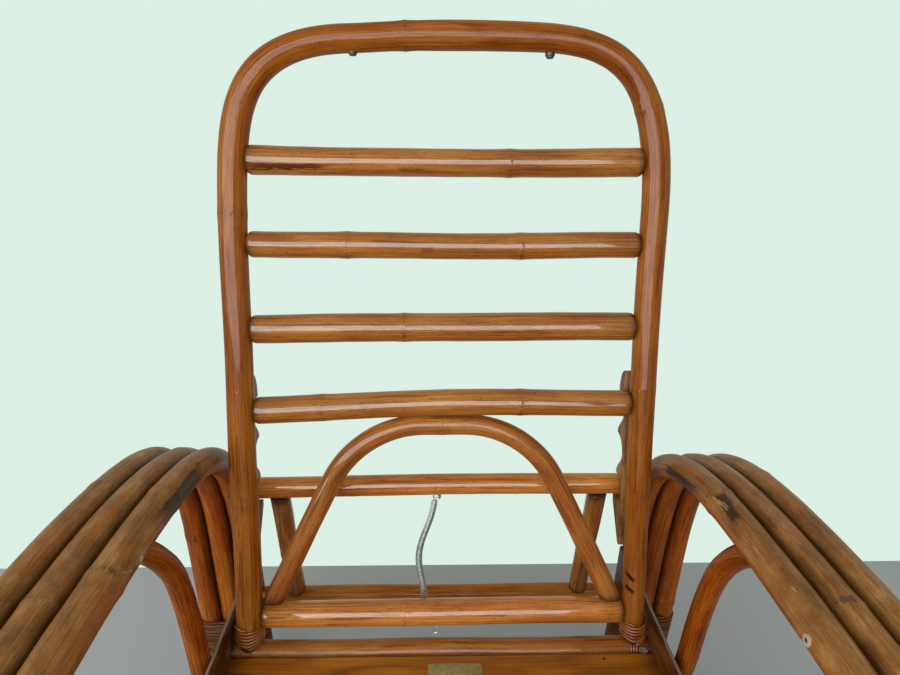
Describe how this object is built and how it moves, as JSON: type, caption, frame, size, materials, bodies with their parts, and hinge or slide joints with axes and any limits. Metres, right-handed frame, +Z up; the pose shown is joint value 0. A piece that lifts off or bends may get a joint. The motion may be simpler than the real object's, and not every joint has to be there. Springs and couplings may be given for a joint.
{
  "type": "reclining lounge chair",
  "caption": "Rattan reclining lounge chair with bent pole arms, a board seat and a slatted hoop back that leans on a prop standing in toothed racks.",
  "frame": {"origin": "on the floor, under the middle of the chair's bounding box", "axes": "+Z up; the chair faces -Y; +X is the right-hand side of the picture"},
  "size_m": [0.8016, 0.9185, 1.0617],
  "materials": {
    "varnished_rattan": "glossy amber varnish over bent rattan poles",
    "weathered_rattan": "dull grey-brown rattan with the varnish worn off",
    "binding_cane": "split cane, partly varnished",
    "stained_board": "dark reddish stained board",
    "deck_wood": "varnished golden-brown boards",
    "rack_wood": "sawn board with a dull olive-brown finish",
    "dark_peg": "dark dull wood",
    "spring_steel": "dull grey wire",
    "plain_plate": "thin dull plate, left blank"
  },
  "bodies": {
    "frame": {"front_left_foot_binding": "binding_cane", "front_right_foot_binding": "binding_cane", "label_plate": "plain_plate", "left_arm_brace": "varnished_rattan", "left_arm_strand_inner": "weathered_rattan", "left_arm_strand_middle": "weathered_rattan", "left_arm_strand_outer": "weathered_rattan", "left_seat_cleat": "stained_board", "left_side_rail": "stained_board", "rear_left_foot_binding": "binding_cane", "rear_right_foot_binding": "binding_cane", "right_arm_brace": "varnished_rattan", "right_arm_strand_inner": "weathered_rattan", "right_arm_strand_middle": "weathered_rattan", "right_arm_strand_outer": "weathered_rattan", "right_seat_cleat": "stained_board", "right_side_rail": "stained_board", "seat_board_1": "deck_wood", "seat_board_2": "deck_wood", "seat_board_3": "deck_wood", "seat_board_4": "deck_wood", "seat_front_rail": "varnished_rattan", "seat_hinge_rail": "varnished_rattan"},
    "backrest": {"back_arch": "varnished_rattan", "back_hoop": "varnished_rattan", "back_lower_rung": "varnished_rattan", "back_rung_1": "varnished_rattan", "back_rung_2": "varnished_rattan", "back_rung_3": "varnished_rattan", "back_rung_4": "varnished_rattan", "left_back_binding": "binding_cane", "left_cushion_peg": "dark_peg", "left_hinge_strap": "binding_cane", "left_rack": "rack_wood", "left_rack_screw_1": "spring_steel", "left_rack_screw_2": "spring_steel", "lower_spring_hook": "spring_steel", "right_back_binding": "binding_cane", "right_cushion_peg": "dark_peg", "right_hinge_strap": "binding_cane", "right_rack": "rack_wood", "right_rack_screw_1": "spring_steel", "right_rack_screw_2": "spring_steel"},
    "prop": {"left_prop_leg": "varnished_rattan", "prop_axle": "varnished_rattan", "prop_bar": "varnished_rattan", "prop_spring": "spring_steel", "right_prop_leg": "varnished_rattan", "upper_spring_hook": "spring_steel"}
  },
  "joints": [
    {"name": "back_recline", "type": "hinge", "parent": "frame", "child": "backrest", "pos_m": [0, 0.237, 0.25], "axis": [-1, 0, 0], "range_deg": [0, 35.8]},
    {"name": "prop_swing", "type": "hinge", "parent": "frame", "child": "prop", "pos_m": [0, 0.4063, 0.2], "axis": [-1, 0, 0], "range_deg": [0, 41.8], "deforming": ["prop_spring"]}
  ],
  "couplings": [
    {"joint": "prop_swing", "follows": "back_recline", "ratio": 1.1662}
  ]
}
